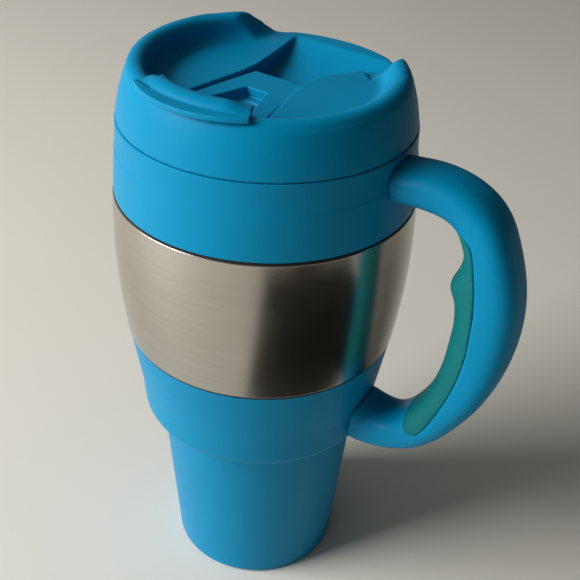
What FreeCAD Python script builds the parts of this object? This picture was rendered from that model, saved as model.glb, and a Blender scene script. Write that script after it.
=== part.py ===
import FreeCAD, Part
import math
import os

# Insulated travel mug with a foam-filled wall, a steel band, a side handle and a screw-on lid
# whose drinking hole is closed by a flap.  Millimetres, +Z up.  The origin is the middle of the
# face that the mug stands on, and the handle reaches out along +X.

V = FreeCAD.Vector
UP = V(0, 0, 1)

# ---- outside of the mug ----
STAND_R = 34.9            # flat ring that the mug stands on
FOOT_R = 36.4             # widest place at the foot
FOOT_ROUND = 1.4
TAPER_R = 42.3            # top of the tapered foot that goes into a cup holder
TAPER_Z = 76.0
SHOULDER_R = 49.7
SHOULDER_Z = 83.4
SHOULDER_ROUND = 5.0
STEP_ROUND = 1.6
BELLY = [(50.7, 96.3), (54.8, 122.4), (57.4, 146.0), (58.1, 167.0), (57.3, 188.0), (55.4, 213.6)]
BASE_TOP = 122.4          # seam between the base and the steel band
BAND_TOP = 184.9          # seam between the steel band and the collar
BRIM_Z = 213.3            # top face of the collar and of the liner

# ---- walls ----
CUP_WALL = 2.4
BAND_WALL = 0.6
BAND_PROUD = 0.25         # how far the band stands out of the plastic
COLLAR_WALL = 2.6
BRIM_THICK = 2.4
TONGUE = 8.0              # overlap of the plastic behind the band's edges
SEAL_HIGH = 0.8
SEAL_DEEP = 1.4

# ---- liner, the cup that holds the drink ----
LINER_WALL = 2.0
LINER_FLOOR = 9.0         # inside floor above the stand
LINER_BOTTOM_R = 28.0
LINER_TAPER_R = 33.6
LINER_STEP_R = 41.0
LINER_STEP_Z = 92.0
LINER_BELLY = [(45.8, 122.4), (48.2, 146.0), (48.9, 165.0), (47.6, 185.0)]
NECK_R = 46.0
NECK_LOW = 197.0          # straight neck from here up

# ---- bottom closure ----
CAP_R = 31.0
CAP_THICK = 2.0
CAP_RECESS = 0.0          # the cap lies flush with the stand
CAP_LEDGE = 2.0           # width of the step that it rests on
PLUG_R = 4.0
PLUG_HEAD_R = 6.0
PLUG_HEAD = 1.0

# ---- quick thread ----
STARTS = 4
LEAD = 24.0               # rise in one turn
RIB_DEEP = 1.6
RIB_HIGH = 2.4
RIB_SPAN = 58.0           # degrees
LUG_SPAN = 48.0
RIB_Z = 205.0             # middle of a neck rib
THREAD_GAP = 0.35
ROOT_SINK = 0.6           # how far a rib is rooted in its wall

# ---- lid, in its own frame: drinking side towards -Y, before LID_TURN ----
LID_TURN = -4.0           # how the screwed-down lid sits against the handle
SEAT_GAP = 0.3            # lid over brim
LID_BELLY = [(55.2, BRIM_Z + SEAT_GAP), (53.5, 222.4), (50.6, 231.2), (48.5, 236.0)]
LID_WALL = 2.8
CREST_Z = 233.5           # mean height of the rim
CREST_TILT = 1.6          # degrees that the rim leans, lowest at LEAN_TO
LEAN_TO = -26.0           # azimuth
CREST_R = 47.0            # middle of the rim's round top
CREST_ROUND = 4.3
CREST_MEET = 19.0         # degrees above level where the round meets the outer wall
DIP_Z = 225.05            # bottom of the dip in the rim at the back
DIP_HALF = 26.0           # half width of the dip's level part
RISE = 14.0               # width over which the dip climbs to the rim
DIP_REACH = 1.6           # how far the dip runs in over the deck
DECK_LEFT_Z = 225.0       # level decks left and right of the channel
DECK_RIGHT_Z = 226.2
BOWL_R = 43.1             # inner wall of the rim
BOWL_ROUND = 5.0          # fillet between a deck and the wall
DECK_THICK = 2.6
CHANNEL_FLOOR = 217.4
FLOOR_THICK = 2.0
CHANNEL_LEFT = [(-23.0, -58.0), (-21.0, -40.0), (-17.9, -25.0), (-15.2, -8.0), (-13.3, 8.0),
                (-14.4, 20.0), (-17.0, 36.0), (-20.0, 54.0)]
CHANNEL_RIGHT = [(23.0, -58.0), (21.0, -40.0), (17.4, -21.0), (14.4, -9.5), (12.4, 1.5),
                 (12.0, 9.0), (13.4, 15.5), (18.2, 23.0), (24.4, 34.0), (34.0, 54.0)]
DISH_START = 12.0         # where the floor begins to rise to the back dip
CHANNEL_WALL = 2.4
DRINK_Y = -31.0
DRINK_HALF_X = 7.5
DRINK_R = 4.0
VENT_X = 6.0
VENT_Y = -4.0
VENT_R = 1.3

# ---- threaded inner part of the lid ----
PLATE_THICK = 1.6
SKIRT_WALL = 2.0
SKIRT_LOW = 198.5
LID_SIDE_GAP = 0.3
GASKET_IN = 46.3
GASKET_OUT = 47.8
GASKET_HIGH = 1.6
GASKET_GAP = 0.15

# ---- flap ----
HINGE_Y = 5.8
BARREL_R = 2.5
PIN_R = 1.2
PIN_HALF = 17.5           # the pin's ends are held in the lid
RUN = 0.05                # radial running clearance on the pin
FLAP_BACK_HALF = 10.7     # half width at the hinge
FLAP_FRONT_HALF = 19.6    # half width where it meets the rim
FLAP_FRONT_Y = -42.0
FLAP_TOP = 224.4
HINGE_Z = FLAP_TOP - BARREL_R
FLAP_THICK = 3.6
FLAP_TIP_R = 41.6
TAB_SPAN = 28.5           # degrees each side of the middle
TAB_IN_R = 39.4
TAB_TOP = 236.0
TAB_ROLL_TO = 48.8        # the rolled top ends here and the ledge begins
LEDGE_Z = 233.8
LEDGE_THICK = 2.0
LEDGE_R = 38.0            # curve of the finger ledge
LEDGE_REACH = 53.2        # furthest out, in the middle
TAB_GAP = 0.5             # over the rim
POCKET_BACK_Y = -7.0
POCKET_FRONT_Y = -33.0
POCKET_BACK_HALF = 4.4
POCKET_FRONT_HALF = 12.6
POCKET_DEEP = 3.8
POCKET_WALL = 1.8
POCKET_SKIN = 1.4         # floor of the well
SLOT_WIDE = 1.4
SLOT_DEEP = 0.9
SEAL_PAD = 1.2
SEAL_FLANGE = 1.8
SEAL_CLEAR = 0.35
VENT_PAD_R = 2.6

# ---- handle ----
HANDLE_PATH = [   # (out from the axis, height, half depth, half width)
    (47.0, 203.6, 7.3, 11.6),
    (63.0, 204.0, 6.9, 11.0),
    (76.4, 202.9, 7.0, 10.8),
    (86.4, 196.6, 7.9, 10.8),
    (91.8, 183.0, 10.0, 11.0),
    (94.4, 165.0, 12.0, 11.4),
    (94.4, 147.0, 11.6, 11.6),
    (91.0, 128.0, 10.4, 11.6),
    (83.8, 111.4, 9.2, 11.4),
    (73.4, 97.6, 8.3, 11.2),
    (62.0, 91.8, 8.2, 11.2),
    (43.0, 94.0, 8.6, 11.6),
]
HANDLE_SQUARE = 0.72      # 1 is an ellipse, less is squarer
HANDLE_HOLLOW = 3.0       # wall of the hollow handle
HOLLOW_FROM = 3           # stations that the hollow runs between
HOLLOW_TO = 8
GRIP_EDGE = [(76.0, 193.5), (86.3, 191.0), (89.1, 183.2), (91.5, 169.6), (92.3, 152.3),
             (90.0, 132.5), (85.3, 116.4), (80.6, 104.9), (76.9, 100.6), (73.4, 102.5),
             (72.3, 107.3), (71.5, 112.0)]
GRIP_INNER_X = 60.0       # the grip's cut starts inside the finger gap
SCREW_R = 2.0
SCREW_HEAD_R = 3.6
SCREW_HEAD = 2.2
SCREW_LONG = 12.0


def arc_corner(a, b, c, r):
    """Two tangent points and the middle of the arc that rounds corner b of the path a-b-c."""
    u, w = (a - b).normalize(), (c - b).normalize()
    half = u.getAngle(w) / 2
    run = r / math.tan(half)
    bis = (u + w).normalize()
    centre = b + bis * (r / math.sin(half))
    return b + u * run, centre - bis * r, b + w * run


def rounded_edges(points):
    """Edges through (x, z, corner radius) points in the XZ plane."""
    vs = [V(x, 0, z) for x, z, _ in points]
    edges, at = [], vs[0]
    for i in range(1, len(vs)):
        r = points[i][2]
        if r and i < len(vs) - 1:
            p, m, q = arc_corner(vs[i - 1], vs[i], vs[i + 1], r)
            edges += [Part.makeLine(at, p), Part.Arc(p, m, q).toShape()]
            at = q
        else:
            edges.append(Part.makeLine(at, vs[i]))
            at = vs[i]
    return edges


def spline(points):
    curve = Part.BSplineCurve()
    curve.interpolate(points)
    return curve.toShape()


def spin(edges):
    """Solid of revolution about Z from edges that start and end on the axis."""
    first, last = edges[0].Vertexes[0].Point, edges[-1].Vertexes[-1].Point
    wire = Part.Wire(Part.__sortEdges__(edges + [Part.makeLine(last, first)]))
    return solid(Part.Face(wire).revolve(V(0, 0, 0), UP, 360))


def solid(shape):
    """The one solid in a shape, cleaned."""
    parts = shape.Solids
    if not parts:
        raise RuntimeError("no solid")
    best = max(parts, key=lambda s: s.Volume)
    return best.removeSplitter()


def body_solid(inset=0.0):
    """The mug's outside, moved inwards by inset."""
    s = inset
    low = rounded_edges([
        (0, s, 0), (STAND_R - s, s, 0), (FOOT_R - s, s + FOOT_ROUND, FOOT_ROUND / 2),
        (TAPER_R - s, TAPER_Z, STEP_ROUND), (SHOULDER_R - s, SHOULDER_Z, SHOULDER_ROUND),
        (BELLY[0][0] - s, BELLY[0][1], 0)])
    belly = [V(r - s, 0, z) for r, z in BELLY]
    top = Part.makeLine(belly[-1], V(0, 0, belly[-1].z))
    return spin(low + [spline(belly), top])


def slab(low, high):
    return Part.makeCylinder(STAND_R * 4, high - low, V(0, 0, low))


def shell_ring(outer, inner, low, high):
    """Wall of the mug between two insets and two heights."""
    return body_solid(outer).cut(body_solid(inner)).common(slab(low, high))


def ring(r_in, r_out, low, high):
    big = Part.makeCylinder(r_out, high - low, V(0, 0, low))
    return big.cut(Part.makeCylinder(r_in, high - low, V(0, 0, low)))


def make_base_cup():
    wall = shell_ring(0, CUP_WALL, 0, BASE_TOP)
    tongue = shell_ring(BAND_WALL - BAND_PROUD, CUP_WALL, BASE_TOP, BASE_TOP + TONGUE)
    groove = shell_ring(0, SEAL_DEEP, BASE_TOP, BASE_TOP + SEAL_HIGH)
    cup = wall.fuse(tongue).cut(groove)
    seat = CAP_RECESS + CAP_THICK
    floor = Part.makeCylinder(FOOT_R - CUP_WALL, seat + CAP_THICK, UP * 0)
    cup = cup.fuse(floor.common(body_solid(0)))
    cup = cup.cut(Part.makeCylinder(CAP_R, seat))
    return solid(cup.cut(Part.makeCylinder(CAP_R - CAP_LEDGE, seat + CAP_THICK)))


def make_base_cap():
    cap = Part.makeCylinder(CAP_R, CAP_THICK, UP * CAP_RECESS)
    return solid(cap.cut(Part.makeCylinder(PLUG_R, CAP_THICK, UP * CAP_RECESS)))


def make_fill_plug():
    top = CAP_RECESS + CAP_THICK
    stem = Part.makeCylinder(PLUG_R, CAP_THICK, UP * CAP_RECESS)
    return solid(stem.fuse(Part.makeCylinder(PLUG_HEAD_R, PLUG_HEAD, UP * top)))


def make_band():
    inner = BAND_WALL - BAND_PROUD
    return solid(shell_ring(-BAND_PROUD, inner, BASE_TOP + SEAL_HIGH, BAND_TOP - SEAL_HIGH))


def make_seal_lower():
    return solid(shell_ring(0, SEAL_DEEP, BASE_TOP, BASE_TOP + SEAL_HIGH))


def make_seal_upper():
    return solid(shell_ring(0, SEAL_DEEP, BAND_TOP - SEAL_HIGH, BAND_TOP))


def make_collar():
    wall = shell_ring(0, COLLAR_WALL, BAND_TOP, BRIM_Z)
    tongue = shell_ring(BAND_WALL - BAND_PROUD, COLLAR_WALL, BAND_TOP - TONGUE, BAND_TOP)
    groove = shell_ring(0, SEAL_DEEP, BAND_TOP - SEAL_HIGH, BAND_TOP)
    brim = body_solid(0).common(slab(BRIM_Z - BRIM_THICK, BRIM_Z))
    whole = wall.fuse(tongue).cut(groove).fuse(brim)
    return solid(whole.cut(Part.makeCylinder(NECK_R + LINER_WALL, BRIM_Z)))


def liner_solid(grow):
    """The drink's space, grown outwards by grow."""
    low = rounded_edges([
        (0, LINER_FLOOR - grow, 0), (LINER_BOTTOM_R + grow, LINER_FLOOR - grow, 5.0),
        (LINER_TAPER_R + grow, TAPER_Z, 3.0), (LINER_STEP_R + grow, LINER_STEP_Z, 0)])
    knots = [(LINER_STEP_R, LINER_STEP_Z)] + LINER_BELLY + [(NECK_R, NECK_LOW)]
    belly = spline([V(r + grow, 0, z) for r, z in knots])
    neck = Part.makeLine(V(NECK_R + grow, 0, NECK_LOW), V(NECK_R + grow, 0, BRIM_Z))
    top = Part.makeLine(V(NECK_R + grow, 0, BRIM_Z), V(0, 0, BRIM_Z))
    return spin(low + [belly, neck, top])


def helical_rib(root_r, tip_r, span, middle_z):
    """One thread rib: a trapezium swept along a right-hand helix, centred on +X."""
    rise = LEAD * span / 360.0
    path = Part.makeHelix(LEAD, rise, root_r)
    half, tip = RIB_HIGH / 2, RIB_HIGH / 4
    corners = [V(root_r, 0, -half), V(tip_r, 0, -tip), V(tip_r, 0, tip), V(root_r, 0, half)]
    section = Part.makePolygon(corners + [corners[0]])
    rib = Part.Wire(path.Edges).makePipeShell([section], True, True)
    rib.rotate(V(0, 0, 0), UP, -span / 2)
    rib.translate(UP * (middle_z - rise / 2))
    return rib


def with_ribs(tube, root_r, tip_r, span, middle_z):
    for i in range(STARTS):
        rib = helical_rib(root_r, tip_r, span, middle_z)
        rib.rotate(V(0, 0, 0), UP, 360.0 * i / STARTS)
        tube = tube.fuse(rib)
    return tube


def make_liner():
    cup = liner_solid(LINER_WALL).cut(liner_solid(0))
    return solid(with_ribs(cup, NECK_R + ROOT_SINK, NECK_R - RIB_DEEP, RIB_SPAN, RIB_Z))


def make_foam(neighbours):
    """Fills what is left between the liner and the outer walls."""
    blank = body_solid(CUP_WALL).common(slab(CAP_RECESS + CAP_THICK, BRIM_Z - BRIM_THICK))
    blank = blank.cut(liner_solid(LINER_WALL))
    for piece in neighbours:
        blank = blank.cut(piece)
    return solid(blank)


# ---- lid ----

def lid_outer():
    pts = [V(r, 0, z) for r, z in LID_BELLY]
    low, high = pts[0], pts[-1]
    return spin([Part.makeLine(V(0, 0, low.z), low), spline(pts),
                 Part.makeLine(high, V(0, 0, high.z))])


def half_bowl(side, deck):
    """Space over one deck, with a round foot to the rim's inner wall."""
    high = LID_BELLY[-1][1] + 1
    edges = rounded_edges([(0, deck, 0), (BOWL_R, deck, BOWL_ROUND), (BOWL_R, high, 0),
                           (0, high, 0)])
    space = spin(edges)
    return space.common(Part.makeBox(BOWL_R, 2 * BOWL_R, high, V((side - 1) * BOWL_R / 2,
                                                                 -BOWL_R, 0)))


def above_crest(gap):
    """Everything above the rim's round top, which leans a little, raised by gap."""
    rho, low, high = CREST_ROUND + gap, CREST_Z - CREST_ROUND, CREST_Z + 12
    meet = math.radians(CREST_MEET)
    end = V(CREST_R + rho * math.cos(meet), 0, low + rho * math.sin(meet))
    inner = V(CREST_R - rho, 0, low)
    top = V(CREST_R, 0, low + rho)
    pts = [end, V(FOOT_R * 2, 0, end.z), V(FOOT_R * 2, 0, high), V(0, 0, high), V(0, 0, low),
           inner]
    edges = [Part.makeLine(a, b) for a, b in zip(pts, pts[1:])]
    edges.append(Part.Arc(inner, top, end).toShape())
    space = Part.Face(Part.Wire(Part.__sortEdges__(edges))).revolve(V(0, 0, 0), UP, 360)
    lean = math.radians(LEAN_TO)
    space.rotate(V(0, 0, CREST_Z), V(-math.sin(lean), math.cos(lean), 0), CREST_TILT)
    return space


def dip_curve(side, peak):
    """The rim line's climb out of the dip on one side."""
    x0, x1, climb = DIP_HALF, DIP_HALF + RISE, peak - DIP_Z
    third = RISE / 3
    pts = [V(side * x0, 0, DIP_Z), V(side * (x0 + third), 0, DIP_Z + climb * 0.26),
           V(side * (x1 - third), 0, DIP_Z + climb * 0.74), V(side * x1, 0, peak)]
    curve = Part.BSplineCurve()
    curve.interpolate(pts, InitialTangent=V(side, 0, 0), FinalTangent=V(side, 0, 0))
    return curve.toShape()


def back_dip():
    """Cut through the rim at the back, level in its middle."""
    peak, deep = CREST_Z + CREST_ROUND, BELLY[-1][0]
    x0, x1 = DIP_HALF, DIP_HALF + RISE
    edges = [dip_curve(-1, peak), dip_curve(1, peak),
             Part.makeLine(V(-x0, 0, DIP_Z), V(x0, 0, DIP_Z)),
             Part.makeLine(V(-x1, 0, peak), V(x1, 0, peak))]
    face = Part.Face(Part.Wire(Part.__sortEdges__(edges)))
    cut = face.extrude(V(0, deep, 0))
    return cut.cut(Part.makeCylinder(BOWL_R - BOWL_ROUND - DIP_REACH, 2 * peak))


def channel_plan(grow, low, high):
    """Plan of the channel, narrowest at the hinge, as a prism widened by grow."""
    left = [V(x - grow, y, low) for x, y in CHANNEL_LEFT]
    right = [V(x + grow, y, low) for x, y in CHANNEL_RIGHT]
    ends = [Part.makeLine(left[i], right[i]) for i in (0, -1)]
    face = Part.Face(Part.Wire(Part.__sortEdges__([spline(left), spline(right)] + ends)))
    return face.extrude(UP * (high - low))


def channel():
    """Trough that the flap lies in, with the dish that rises to the back dip."""
    top = LID_BELLY[-1][1] + 5
    wide = CHANNEL_RIGHT[-1][0] * 2
    back = LID_BELLY[1][0]
    rim_y = CREST_R - 1.5
    dish = spline([V(0, DISH_START, CHANNEL_FLOOR),
                   V(0, (DISH_START + rim_y) / 2, CHANNEL_FLOOR + (DIP_Z - CHANNEL_FLOOR) * 0.3),
                   V(0, rim_y, DIP_Z)])
    lines = [(-back, CHANNEL_FLOOR), (-back, top), (back, top), (back, DIP_Z), (rim_y, DIP_Z)]
    pts = [V(0, y, z) for y, z in lines]
    edges = [Part.makeLine(a, b) for a, b in zip(pts, pts[1:])]
    edges.append(Part.makeLine(V(0, -back, CHANNEL_FLOOR), V(0, DISH_START, CHANNEL_FLOOR)))
    face = Part.Face(Part.Wire(Part.__sortEdges__(edges + [dish])))
    face.translate(V(-wide, 0, 0))
    trough = face.extrude(V(2 * wide, 0, 0)).common(channel_plan(0, CHANNEL_FLOOR, top))
    front_wall = Part.makeCylinder(BOWL_R, top - CHANNEL_FLOOR, UP * CHANNEL_FLOOR)
    rear = Part.makeBox(4 * wide, back * 2, top, V(-2 * wide, 0, 0))
    return trough.common(front_wall.fuse(rear))


def lid_hollow():
    """Space under the decks, closed below by the threaded plate."""
    seat = LID_BELLY[0][1]
    pts = [V(r - LID_WALL, 0, z) for r, z in LID_BELLY[:3]]
    room = spin([Part.makeLine(V(0, 0, seat), pts[0]), spline(pts),
                 Part.makeLine(pts[-1], V(0, 0, pts[-1].z))])
    room = room.common(slab(seat, DECK_LEFT_Z - DECK_THICK))
    keep = channel_plan(CHANNEL_WALL, CHANNEL_FLOOR - FLOOR_THICK, DECK_LEFT_Z)
    return room.cut(keep)


def slot_prism(half_x, r, low, high, y=DRINK_Y):
    """Prism with round ends, long in X."""
    mid = Part.makeBox(2 * (half_x - r), 2 * r, high - low, V(-(half_x - r), y - r, low))
    for s in (-1, 1):
        mid = mid.fuse(Part.makeCylinder(r, high - low, V(s * (half_x - r), y, low)))
    return mid.removeSplitter()


def drink_hole(grow, low, high):
    return slot_prism(DRINK_HALF_X + grow, DRINK_R + grow, low, high)


def hinge_rod(r, half):
    return Part.makeCylinder(r, 2 * half, V(-half, HINGE_Y, HINGE_Z), V(1, 0, 0))


def make_lid_shell():
    whole = lid_outer().cut(half_bowl(-1, DECK_LEFT_Z)).cut(half_bowl(1, DECK_RIGHT_Z))
    whole = whole.cut(above_crest(0)).cut(back_dip()).cut(channel()).cut(lid_hollow())
    low = LID_BELLY[0][1] - 1
    whole = whole.cut(drink_hole(0, low, DECK_LEFT_Z))
    whole = whole.cut(Part.makeCylinder(VENT_R, DECK_LEFT_Z - low, V(VENT_X, VENT_Y, low)))
    return solid(whole.cut(hinge_rod(PIN_R, PIN_HALF)))


def make_hinge_pin():
    return solid(hinge_rod(PIN_R, PIN_HALF))


def make_lid_plug():
    """Plate and threaded skirt under the lid shell."""
    seat = LID_BELLY[0][1]
    plate_r = LID_BELLY[0][0] - LID_WALL
    plate = Part.makeCylinder(plate_r - LID_SIDE_GAP, PLATE_THICK, UP * seat)
    lid_r = NECK_R - RIB_DEEP - THREAD_GAP
    skirt = ring(lid_r - SKIRT_WALL, lid_r, SKIRT_LOW, seat + PLATE_THICK)
    lug_z = RIB_Z - LEAD / STARTS / 2
    skirt = with_ribs(skirt, lid_r - ROOT_SINK, lid_r + RIB_DEEP, LUG_SPAN, lug_z)
    part = plate.fuse(skirt)
    part = part.cut(ring(GASKET_IN - LID_SIDE_GAP, GASKET_OUT + LID_SIDE_GAP, seat,
                         seat + gasket_sink()))
    part = part.cut(drink_hole(0, seat, seat + PLATE_THICK))
    return solid(part.cut(Part.makeCylinder(VENT_R, PLATE_THICK, V(VENT_X, VENT_Y, seat))))


def gasket_sink():
    """Depth of the gasket's groove in the lid plate."""
    return GASKET_HIGH - SEAT_GAP + GASKET_GAP


def make_gasket():
    low = BRIM_Z + GASKET_GAP
    high = LID_BELLY[0][1] + gasket_sink() - GASKET_GAP
    return solid(ring(GASKET_IN, GASKET_OUT, low, high))


# ---- flap ----

def sector(r_in, r_out, span, low, high):
    """Ring sector centred on -Y."""
    wedge = Part.makeCylinder(r_out, high - low, V(0, 0, low), UP, 2 * span)
    wedge.rotate(V(0, 0, 0), UP, -90 - span)
    return wedge.cut(Part.makeCylinder(r_in, high - low, V(0, 0, low)))


def wedge_plan(back_half, front_half, back_y, front_y, low, high):
    """Straight-sided prism that widens to the front."""
    pts = [V(-back_half, back_y, low), V(back_half, back_y, low),
           V(front_half, front_y, low), V(-front_half, front_y, low)]
    return Part.Face(Part.makePolygon(pts + [pts[0]])).extrude(UP * (high - low))


def flap_plan(low, high):
    """Outline of the flap, ending short of the rim's inner wall."""
    plan = wedge_plan(FLAP_BACK_HALF, FLAP_FRONT_HALF, HINGE_Y, FLAP_FRONT_Y, low, high)
    return plan.common(Part.makeCylinder(FLAP_TIP_R, high - low, UP * low))


def flap_riser():
    """Web inside the rim that carries the tab."""
    low, high = FLAP_TOP - FLAP_THICK, LEDGE_Z
    return flap_plan(low, high).common(sector(TAB_IN_R, FLAP_TIP_R, TAB_SPAN, low, high))


def flap_tab():
    """Crescent finger tab over the rim: a rolled top and a ledge outside it."""
    low = LEDGE_Z - LEDGE_THICK
    mid = (TAB_IN_R + TAB_ROLL_TO) / 2
    arc = Part.Arc(V(TAB_IN_R, 0, LEDGE_Z - 1), V(mid, 0, TAB_TOP), V(TAB_ROLL_TO, 0, LEDGE_Z - 1))
    line = [V(TAB_ROLL_TO, 0, LEDGE_Z - 1), V(TAB_ROLL_TO, 0, low), V(TAB_IN_R, 0, low),
            V(TAB_IN_R, 0, LEDGE_Z - 1)]
    edges = [arc.toShape()] + [Part.makeLine(a, b) for a, b in zip(line, line[1:])]
    roll = Part.Face(Part.Wire(Part.__sortEdges__(edges))).revolve(V(0, 0, 0), UP, 2 * TAB_SPAN)
    roll.rotate(V(0, 0, 0), UP, -90 - TAB_SPAN)
    ledge = Part.makeCylinder(LEDGE_R, LEDGE_THICK, V(0, LEDGE_R - LEDGE_REACH, low))
    ledge = ledge.common(sector(TAB_ROLL_TO - 1, LEDGE_REACH + 1, TAB_SPAN, low, LEDGE_Z))
    return roll.fuse(ledge).common(above_crest(TAB_GAP).fuse(
        Part.makeCylinder(FLAP_TIP_R, 2 * TAB_TOP)))


def pocket(grow, low, high):
    """Open-topped well in the flap, wider to the front."""
    return wedge_plan(POCKET_BACK_HALF + grow, POCKET_FRONT_HALF + grow,
                      POCKET_BACK_Y + grow, POCKET_FRONT_Y - grow, low, high)


def pocket_floor():
    return FLAP_TOP - POCKET_DEEP


def pocket_slot():
    """Arched groove in the well's floor."""
    y = POCKET_FRONT_Y + 2
    r = -y + POCKET_BACK_Y - POCKET_WALL - 1
    low, high = pocket_floor() - SLOT_DEEP, pocket_floor()
    arch = ring(r - SLOT_WIDE, r, low, high)
    arch.translate(V(0, y, 0))
    return arch.common(pocket(-1.0, low, high))


def make_flap():
    low = pocket_floor() - POCKET_SKIN
    plate = flap_plan(FLAP_TOP - FLAP_THICK, FLAP_TOP)
    cup = pocket(POCKET_WALL, low, FLAP_TOP).common(flap_plan(low, FLAP_TOP))
    body = plate.fuse(hinge_rod(BARREL_R, FLAP_BACK_HALF)).fuse(flap_riser())
    body = body.fuse(flap_tab()).fuse(cup)
    body = body.cut(pocket(0, pocket_floor(), FLAP_TOP)).cut(pocket_slot())
    body = body.cut(hinge_rod(PIN_R + RUN, PIN_HALF)).cut(make_vent_pad())
    return solid(body)


def make_flap_seal():
    """Soft pad under the flap that fills the drinking hole."""
    under = pocket_floor() - POCKET_SKIN
    pad = slot_prism(DRINK_HALF_X + SEAL_FLANGE, DRINK_R + SEAL_FLANGE,
                     CHANNEL_FLOOR + GASKET_GAP, under)
    nose = drink_hole(-SEAL_CLEAR, CHANNEL_FLOOR - SEAL_PAD, under)
    return solid(pad.fuse(nose))


def make_vent_pad():
    """Soft button under the flap that covers the vent."""
    low = CHANNEL_FLOOR + GASKET_GAP
    return solid(Part.makeCylinder(VENT_PAD_R, FLAP_TOP - FLAP_THICK - low, V(VENT_X, VENT_Y, low)))


# ---- handle ----

def handle_sections(first, last, shrink):
    """Elliptical sections square to the handle's path."""
    pts = [V(p[0], 0, p[1]) for p in HANDLE_PATH]
    wires = []
    for i in range(first, last + 1):
        a, b = pts[max(i - 1, 0)], pts[min(i + 1, len(pts) - 1)]
        along = (b - a).normalize()
        depth, width = HANDLE_PATH[i][2] - shrink, HANDLE_PATH[i][3] - shrink
        side = along.cross(V(0, 1, 0)).normalize()
        loop = []
        for k in range(16):
            t = 2 * math.pi * k / 16
            c, s = math.cos(t), math.sin(t)
            x = math.copysign(abs(c) ** HANDLE_SQUARE, c) * depth
            y = math.copysign(abs(s) ** HANDLE_SQUARE, s) * width
            loop.append(pts[i] + side * x + V(0, 1, 0) * y)
        curve = Part.BSplineCurve()
        curve.interpolate(loop, PeriodicFlag=True)
        wires.append(Part.Wire([curve.toShape()]))
    return wires


def handle_loft(first, last, shrink):
    return Part.makeLoft(handle_sections(first, last, shrink), True, False)


def handle_outside():
    return handle_loft(0, len(HANDLE_PATH) - 1, 0).cut(body_solid(0))


def grip_region():
    pts = [V(x, 0, z) for x, z in GRIP_EDGE]
    edge = spline(pts)
    back = Part.makePolygon([pts[-1], V(GRIP_INNER_X, 0, pts[-1].z), V(GRIP_INNER_X, 0, pts[0].z), pts[0]])
    face = Part.Face(Part.Wire(Part.__sortEdges__([edge] + back.Edges)))
    face.translate(V(0, -40, 0))
    return face.extrude(V(0, 80, 0))


def make_handle_pieces(screws):
    whole = handle_outside()
    region = grip_region()
    grip = whole.common(region)
    shell = whole.cut(region)
    hollow = handle_loft(HOLLOW_FROM, HOLLOW_TO, HANDLE_HOLLOW).cut(region)
    shell = shell.cut(hollow)
    for screw in screws:
        shell = shell.cut(screw)
    return solid(shell), solid(grip)


def wall_radius(z):
    """Outside radius of the mug at a height."""
    probe = Part.makeLine(V(0, 0, z), V(200, 0, z)).common(body_solid(0))
    return probe.BoundBox.XMax


def screw_at(z, wall):
    head_x = wall_radius(z) - wall - SCREW_HEAD
    head = Part.makeCylinder(SCREW_HEAD_R, SCREW_HEAD, V(head_x, 0, z), V(1, 0, 0))
    stem = Part.makeCylinder(SCREW_R, SCREW_HEAD + wall + SCREW_LONG, V(head_x, 0, z), V(1, 0, 0))
    return solid(head.fuse(stem))


def turned(shape):
    shape.rotate(V(0, 0, 0), UP, LID_TURN)
    return shape


def save(name, shape):
    shape.exportStep("parts/%s.step" % name)


def main():
    os.makedirs("parts", exist_ok=True)
    heights = HANDLE_PATH[0][1], HANDLE_PATH[-1][1] - 1
    screws = [screw_at(heights[0], COLLAR_WALL), screw_at(heights[1], CUP_WALL)]
    cup, collar = make_base_cup(), make_collar()
    for screw in screws:
        cup, collar = cup.cut(screw), collar.cut(screw)
    cup, collar, liner = solid(cup), solid(collar), make_liner()
    shell, grip = make_handle_pieces(screws)
    plug = make_fill_plug()
    foam = make_foam([cup, collar, make_band(), plug] + screws)
    save("base_cup", cup)
    save("base_cap", make_base_cap())
    save("fill_plug", plug)
    save("foam_insulation", foam)
    save("inner_liner", liner)
    save("band_seal_lower", make_seal_lower())
    save("steel_band", make_band())
    save("band_seal_upper", make_seal_upper())
    save("collar", collar)
    save("handle_shell", shell)
    save("handle_grip", grip)
    save("handle_screws", Part.makeCompound(screws))
    save("lid_gasket", make_gasket())
    save("lid_shell", turned(make_lid_shell()))
    save("lid_plug", turned(make_lid_plug()))
    save("hinge_pin", turned(make_hinge_pin()))
    save("flap", turned(make_flap()))
    save("flap_seal", turned(make_flap_seal()))
    save("vent_pad", turned(make_vent_pad()))


main()
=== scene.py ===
"""Blender scene of a barrel-shaped insulated travel mug.

The mug has a steel band, a side handle with a soft grip, a tapered foot and a screw-on lid
whose drinking hole is closed by a flap.  Lengths are metres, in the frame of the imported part:
+Z up, the handle along +X, and the drinking side of the lid close to -Y.
"""

import logging
import math
from collections.abc import Callable
from dataclasses import dataclass, field
from enum import Enum

import bmesh
import bpy
import numpy as np
from mathutils import Matrix, Vector


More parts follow.
